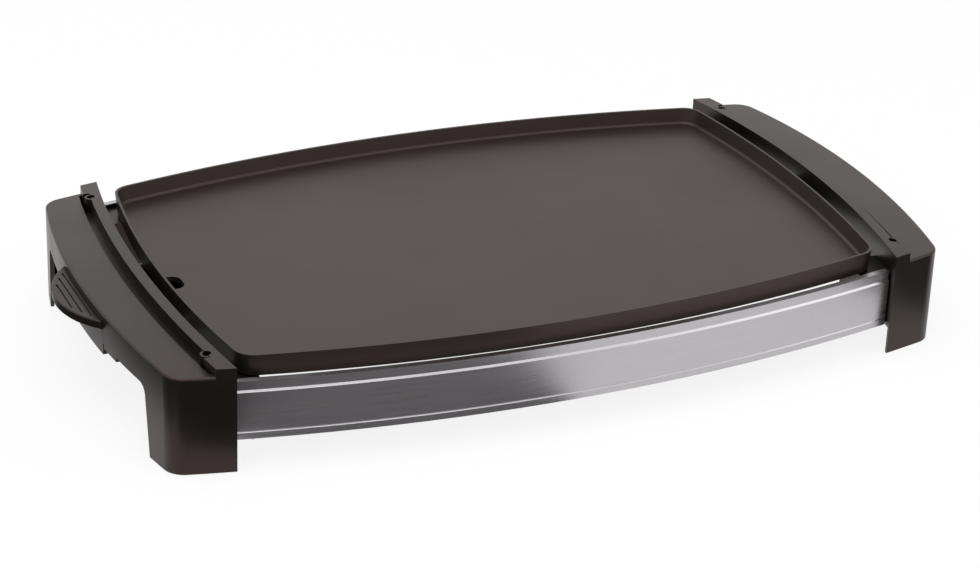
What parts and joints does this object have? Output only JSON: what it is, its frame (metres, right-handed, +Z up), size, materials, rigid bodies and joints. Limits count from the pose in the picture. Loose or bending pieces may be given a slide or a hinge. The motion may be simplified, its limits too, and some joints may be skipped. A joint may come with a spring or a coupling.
{
  "type": "electric griddle",
  "caption": "Low table griddle: coated plate with raised rim in a frame of two curved moulded ends and two bowed steel strips, with a grease drawer at the left end.",
  "frame": {"origin": "on the table, under the middle of the overall length, width and height box", "axes": "+X from the drawer end towards the inlet end, +Y from the front strip towards the rear strip, +Z up"},
  "size_m": [0.636, 0.354, 0.081],
  "materials": {
    "black_moulding": "satin moulded phenolic",
    "drawer_moulding": "satin moulded",
    "steel_strip": "satin",
    "coated_plate": "dark non-stick coating, satin",
    "rubber": "matte",
    "screw_steel": "plain",
    "element_steel": "heat-darkened",
    "contact_metal": "plated",
    "clip_steel": "plain"
  },
  "bodies": {
    "base": {"side_rail_left": "black_moulding", "side_rail_right": "black_moulding", "end_cap_left": "black_moulding", "end_cap_right": "black_moulding", "front_strip": "steel_strip", "rear_strip": "steel_strip", "corner_bracket_front_left": "black_moulding", "corner_bracket_front_right": "black_moulding", "corner_bracket_rear_left": "black_moulding", "corner_bracket_rear_right": "black_moulding", "plate_pads": "rubber", "foot_front_left": "rubber", "foot_front_right": "rubber", "foot_rear_left": "rubber", "foot_rear_right": "rubber", "rail_screws": "screw_steel", "bracket_screws": "screw_steel", "strip_screws": "screw_steel", "inlet_sleeve": "black_moulding", "drawer_runner_front": "clip_steel", "drawer_runner_rear": "clip_steel"},
    "plate": {"cooking_plate": "coated_plate", "heating_element": "element_steel", "element_ends": "element_steel", "element_pins": "contact_metal", "element_clips": "clip_steel", "clip_screws": "screw_steel", "probe_sleeve": "clip_steel", "terminal_guard": "clip_steel"},
    "drawer": {"grease_drawer": "drawer_moulding", "drawer_front": "drawer_moulding", "drawer_screws": "screw_steel"}
  },
  "joints": [
    {"name": "plate_lift", "type": "slide", "parent": "base", "child": "plate", "axis": [0, 0, 1], "range_m": [0, 0.06]},
    {"name": "drawer_slide", "type": "slide", "parent": "base", "child": "drawer", "axis": [-1, 0, 0], "range_m": [0, 0.07]}
  ]
}
